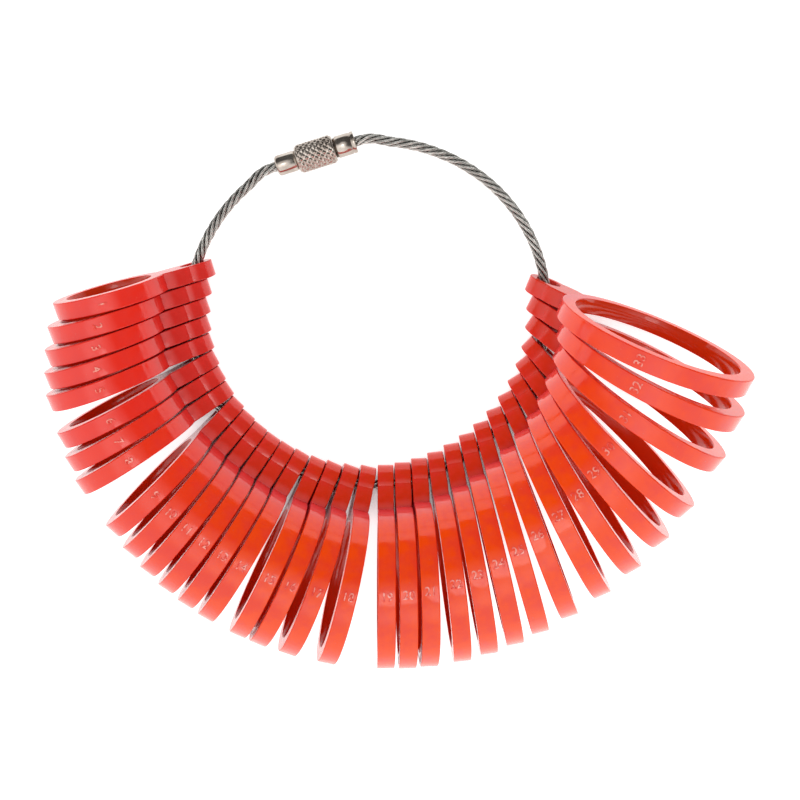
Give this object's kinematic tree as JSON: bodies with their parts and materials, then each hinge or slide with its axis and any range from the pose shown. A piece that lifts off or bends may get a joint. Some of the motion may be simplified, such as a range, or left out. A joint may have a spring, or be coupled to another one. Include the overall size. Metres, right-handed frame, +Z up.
{
  "type": "finger ring sizer set",
  "caption": "Set of red plastic finger ring gauges in rising sizes, strung by their eyes on a loop of stranded steel wire rope with a knurled screw clasp.",
  "frame": {"origin": "middle of the bounding box at table level", "axes": "+Z up, the rope loop lies level, the clasp is towards +Y, the gauges fan out towards -Y, sizes rise from -X to +X"},
  "size_m": [0.0974, 0.0766, 0.0267],
  "materials": {
    "red_plastic": "glossy moulded plastic, salmon red to orange red",
    "steel_rope": "bare stranded stainless wire",
    "nickel_plate": "polished nickel plate, the sleeve diamond knurled"
  },
  "bodies": {
    "loop": {"wire_rope": "steel_rope", "clasp_swivel": "nickel_plate", "clasp_stud": "nickel_plate"},
    "sleeve": {"clasp_sleeve": "nickel_plate"},
    "gauge_01": {"gauge_01": "red_plastic"},
    "gauge_02": {"gauge_02": "red_plastic"},
    "gauge_03": {"gauge_03": "red_plastic"},
    "gauge_04": {"gauge_04": "red_plastic"},
    "gauge_05": {"gauge_05": "red_plastic"},
    "gauge_06": {"gauge_06": "red_plastic"},
    "gauge_07": {"gauge_07": "red_plastic"},
    "gauge_08": {"gauge_08": "red_plastic"},
    "gauge_09": {"gauge_09": "red_plastic"},
    "gauge_10": {"gauge_10": "red_plastic"},
    "gauge_11": {"gauge_11": "red_plastic"},
    "gauge_12": {"gauge_12": "red_plastic"},
    "gauge_13": {"gauge_13": "red_plastic"},
    "gauge_14": {"gauge_14": "red_plastic"},
    "gauge_15": {"gauge_15": "red_plastic"},
    "gauge_16": {"gauge_16": "red_plastic"},
    "gauge_17": {"gauge_17": "red_plastic"},
    "gauge_18": {"gauge_18": "red_plastic"},
    "gauge_19": {"gauge_19": "red_plastic"},
    "gauge_20": {"gauge_20": "red_plastic"},
    "gauge_21": {"gauge_21": "red_plastic"},
    "gauge_22": {"gauge_22": "red_plastic"},
    "gauge_23": {"gauge_23": "red_plastic"},
    "gauge_24": {"gauge_24": "red_plastic"},
    "gauge_25": {"gauge_25": "red_plastic"},
    "gauge_26": {"gauge_26": "red_plastic"},
    "gauge_27": {"gauge_27": "red_plastic"},
    "gauge_28": {"gauge_28": "red_plastic"},
    "gauge_29": {"gauge_29": "red_plastic"},
    "gauge_30": {"gauge_30": "red_plastic"},
    "gauge_31": {"gauge_31": "red_plastic"},
    "gauge_32": {"gauge_32": "red_plastic"},
    "gauge_33": {"gauge_33": "red_plastic"}
  },
  "joints": [
    {"name": "clasp_sleeve_turn", "type": "hinge", "parent": "loop", "child": "sleeve", "pos_m": [-0.01088, 0.03497, 0.0021], "axis": [0.956, 0.2934, 0], "range_deg": [-1800, 0]},
    {"name": "gauge_01_swing", "type": "hinge", "parent": "loop", "child": "gauge_01", "pos_m": [-0.02898, 0.01787, 0.00304], "axis": [-0.23, 0.9626, 0.1431], "range_deg": [-73.8, 16.2]},
    {"name": "gauge_02_swing", "type": "hinge", "parent": "loop", "child": "gauge_02", "pos_m": [-0.02961, 0.01498, 0.00303], "axis": [-0.2517, 0.9594, 0.1275], "range_deg": [-74.4, 15.6]},
    {"name": "gauge_03_swing", "type": "hinge", "parent": "loop", "child": "gauge_03", "pos_m": [-0.02988, 0.01218, 0.00302], "axis": [-0.2737, 0.9553, 0.112], "range_deg": [-75, 15]},
    {"name": "gauge_04_swing", "type": "hinge", "parent": "loop", "child": "gauge_04", "pos_m": [-0.02984, 0.00941, 0.003], "axis": [-0.2958, 0.9503, 0.0967], "range_deg": [-75.5, 14.5]},
    {"name": "gauge_05_swing", "type": "hinge", "parent": "loop", "child": "gauge_05", "pos_m": [-0.02949, 0.00669, 0.00299], "axis": [-0.3181, 0.9446, 0.0814], "range_deg": [-76.1, 13.9]},
    {"name": "gauge_06_swing", "type": "hinge", "parent": "loop", "child": "gauge_06", "pos_m": [-0.0288, 0.00388, 0.003], "axis": [-0.4343, 0.8961, 0.092], "range_deg": [-76.5, 13.5]},
    {"name": "gauge_07_swing", "type": "hinge", "parent": "loop", "child": "gauge_07", "pos_m": [-0.02787, 0.00136, 0.00298], "axis": [-0.4798, 0.8745, 0.0714], "range_deg": [-77.1, 12.9]},
    {"name": "gauge_08_swing", "type": "hinge", "parent": "loop", "child": "gauge_08", "pos_m": [-0.02669, -0.00105, 0.00296], "axis": [-0.5244, 0.85, 0.051], "range_deg": [-77.6, 12.4]},
    {"name": "gauge_09_swing", "type": "hinge", "parent": "loop", "child": "gauge_09", "pos_m": [-0.02504, -0.00364, 0.003], "axis": [-0.6826, 0.7246, 0.0954], "range_deg": [-77.9, 12.1]},
    {"name": "gauge_10_swing", "type": "hinge", "parent": "loop", "child": "gauge_10", "pos_m": [-0.02334, -0.00575, 0.00299], "axis": [-0.7263, 0.6823, 0.0834], "range_deg": [-78.4, 11.6]},
    {"name": "gauge_11_swing", "type": "hinge", "parent": "loop", "child": "gauge_11", "pos_m": [-0.02146, -0.00765, 0.00298], "axis": [-0.7604, 0.6455, 0.0715], "range_deg": [-78.8, 11.2]},
    {"name": "gauge_12_swing", "type": "hinge", "parent": "loop", "child": "gauge_12", "pos_m": [-0.01942, -0.00933, 0.00297], "axis": [-0.7906, 0.6094, 0.0596], "range_deg": [-79.3, 10.7]},
    {"name": "gauge_13_swing", "type": "hinge", "parent": "loop", "child": "gauge_13", "pos_m": [-0.01723, -0.01081, 0.00295], "axis": [-0.8179, 0.5733, 0.0479], "range_deg": [-79.7, 10.3]},
    {"name": "gauge_14_swing", "type": "hinge", "parent": "loop", "child": "gauge_14", "pos_m": [-0.01491, -0.01205, 0.00294], "axis": [-0.8428, 0.537, 0.0362], "range_deg": [-80.2, 9.8]},
    {"name": "gauge_15_swing", "type": "hinge", "parent": "loop", "child": "gauge_15", "pos_m": [-0.01225, -0.01314, 0.00296], "axis": [-0.8901, 0.4531, 0.0496], "range_deg": [-80.5, 9.5]},
    {"name": "gauge_16_swing", "type": "hinge", "parent": "loop", "child": "gauge_16", "pos_m": [-0.00973, -0.01388, 0.00296], "axis": [-0.8984, 0.436, 0.0534], "range_deg": [-80.9, 9.1]},
    {"name": "gauge_17_swing", "type": "hinge", "parent": "loop", "child": "gauge_17", "pos_m": [-0.00693, -0.0144, 0.00296], "axis": [-0.9259, 0.3733, 0.0571], "range_deg": [-81.3, 8.7]},
    {"name": "gauge_18_swing", "type": "hinge", "parent": "loop", "child": "gauge_18", "pos_m": [-0.00401, -0.01462, 0.00297], "axis": [-0.9643, 0.2576, 0.0609], "range_deg": [-81.7, 8.3]},
    {"name": "gauge_19_swing", "type": "hinge", "parent": "loop", "child": "gauge_19", "pos_m": [-0.00076, -0.01448, 0.00293], "axis": [-0.9995, 0.0098, 0.0296], "range_deg": [-82.1, 7.9]},
    {"name": "gauge_20_swing", "type": "hinge", "parent": "loop", "child": "gauge_20", "pos_m": [0.00185, -0.01408, 0.00294], "axis": [-0.9994, -0.0055, 0.0339], "range_deg": [-82.4, 7.6]},
    {"name": "gauge_21_swing", "type": "hinge", "parent": "loop", "child": "gauge_21", "pos_m": [0.00441, -0.01342, 0.00294], "axis": [-0.9991, -0.0208, 0.0381], "range_deg": [-82.8, 7.2]},
    {"name": "gauge_22_swing", "type": "hinge", "parent": "loop", "child": "gauge_22", "pos_m": [0.00711, -0.01242, 0.00293], "axis": [-0.9936, -0.1111, 0.0219], "range_deg": [-83.2, 6.8]},
    {"name": "gauge_23_swing", "type": "hinge", "parent": "loop", "child": "gauge_23", "pos_m": [0.00972, -0.01111, 0.0029], "axis": [-0.9859, -0.1675, 0.0015], "range_deg": [-83.5, 6.5]},
    {"name": "gauge_24_swing", "type": "hinge", "parent": "loop", "child": "gauge_24", "pos_m": [0.01218, -0.00952, 0.00292], "axis": [-0.9745, -0.2236, -0.0188], "range_deg": [-83.8, 6.2]},
    {"name": "gauge_25_swing", "type": "hinge", "parent": "loop", "child": "gauge_25", "pos_m": [0.01445, -0.00768, 0.00294], "axis": [-0.9595, -0.2791, -0.039], "range_deg": [-84.1, 5.9]},
    {"name": "gauge_26_swing", "type": "hinge", "parent": "loop", "child": "gauge_26", "pos_m": [0.01663, -0.00548, 0.00298], "axis": [-0.9289, -0.3635, -0.0705], "range_deg": [-84.4, 5.6]},
    {"name": "gauge_27_swing", "type": "hinge", "parent": "loop", "child": "gauge_27", "pos_m": [0.01858, -0.00298, 0.003], "axis": [-0.8798, -0.466, -0.0938], "range_deg": [-84.6, 5.4]},
    {"name": "gauge_28_swing", "type": "hinge", "parent": "loop", "child": "gauge_28", "pos_m": [0.02022, -0.00029, 0.00302], "axis": [-0.8189, -0.5619, -0.117], "range_deg": [-84.9, 5.1]},
    {"name": "gauge_29_swing", "type": "hinge", "parent": "loop", "child": "gauge_29", "pos_m": [0.02153, 0.00257, 0.00304], "axis": [-0.7471, -0.6498, -0.1401], "range_deg": [-85, 5]},
    {"name": "gauge_30_swing", "type": "hinge", "parent": "loop", "child": "gauge_30", "pos_m": [0.02248, 0.00554, 0.00306], "axis": [-0.6654, -0.7285, -0.1629], "range_deg": [-85.2, 4.8]},
    {"name": "gauge_31_swing", "type": "hinge", "parent": "loop", "child": "gauge_31", "pos_m": [0.02314, 0.00906, 0.00307], "axis": [-0.5174, -0.8361, -0.1821], "range_deg": [-85.3, 4.7]},
    {"name": "gauge_32_swing", "type": "hinge", "parent": "loop", "child": "gauge_32", "pos_m": [0.0233, 0.01221, 0.00308], "axis": [-0.4013, -0.8945, -0.1969], "range_deg": [-85.5, 4.5]},
    {"name": "gauge_33_swing", "type": "hinge", "parent": "loop", "child": "gauge_33", "pos_m": [0.02308, 0.01533, 0.00309], "axis": [-0.3208, -0.9232, -0.2116], "range_deg": [-85.7, 4.3]}
  ]
}
